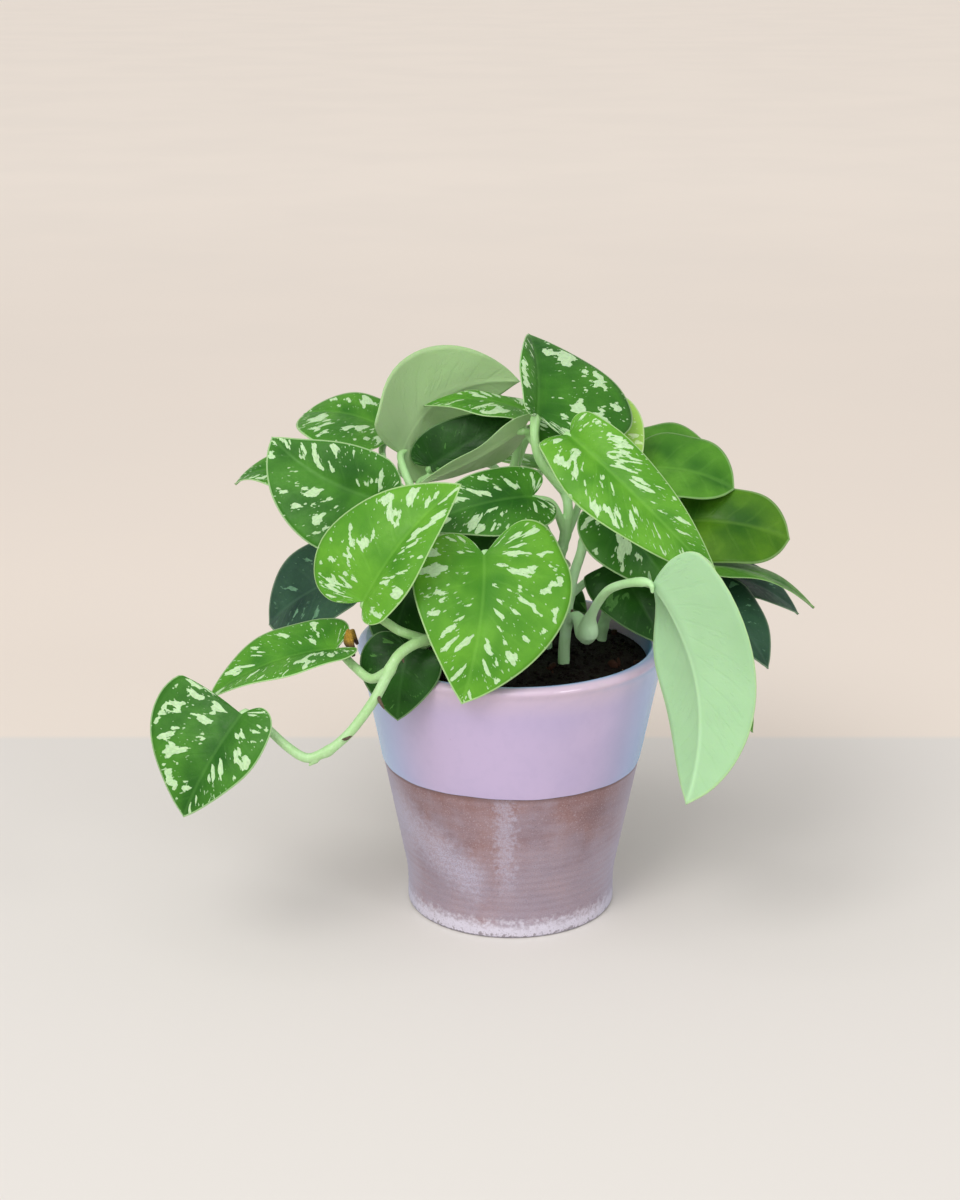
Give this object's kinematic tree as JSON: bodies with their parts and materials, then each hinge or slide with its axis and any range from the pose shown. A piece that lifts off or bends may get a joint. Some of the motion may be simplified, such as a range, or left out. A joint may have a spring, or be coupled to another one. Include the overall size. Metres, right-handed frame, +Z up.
{
  "type": "potted pothos plant",
  "caption": "Satin pothos with heart-shaped variegated leaves on arching and trailing stems, in a round tapered clay pot glazed over its upper part.",
  "frame": {"origin": "centre of the pot's underside, on the ground", "axes": "+Z up along the pot's axis, -Y the front as displayed, +X to the viewer's right"},
  "size_m": [0.2724, 0.2077, 0.2457],
  "materials": {
    "glazed_clay": "gloss",
    "soil": "matte",
    "stem": "satin",
    "leaf": "satin",
    "leaf_pale": "satin"
  },
  "bodies": {
    "root": {"leaf_back_crown": "leaf", "leaf_back_fill": "leaf", "leaf_back_left": "leaf", "leaf_back_low": "leaf", "leaf_back_mid": "leaf", "leaf_back_right": "leaf", "leaf_back_rim": "leaf", "leaf_back_rim_left": "leaf", "leaf_back_rim_right": "leaf", "leaf_back_side": "leaf", "leaf_core_dark": "leaf", "leaf_core_small": "leaf", "leaf_crown": "leaf", "leaf_far_left": "leaf", "leaf_front_heart": "leaf", "leaf_front_left": "leaf", "leaf_front_right": "leaf", "leaf_hanging": "leaf_pale", "leaf_inner_dark": "leaf", "leaf_left_blue": "leaf", "leaf_left_dark": "leaf", "leaf_left_narrow": "leaf", "leaf_left_small": "leaf", "leaf_lime": "leaf", "leaf_low_right": "leaf", "leaf_mid_back": "leaf", "leaf_mid_dark": "leaf", "leaf_mid_pale": "leaf_pale", "leaf_pale_back": "leaf_pale", "leaf_right_broad": "leaf", "leaf_right_drop": "leaf", "leaf_right_lower": "leaf", "leaf_right_rear": "leaf", "leaf_right_thin": "leaf", "leaf_right_upper": "leaf", "leaf_rim_dark": "leaf", "leaf_rim_fill": "leaf", "leaf_soil_back": "leaf", "leaf_soil_right": "leaf", "leaf_trail_heart": "leaf", "leaf_under_right": "leaf", "pot": "glazed_clay", "soil": "soil", "stem_back": "stem", "stem_centre": "stem", "stem_far_right": "stem", "stem_left": "stem", "stem_right": "stem", "stem_trailing": "stem"}
  },
  "joints": []
}
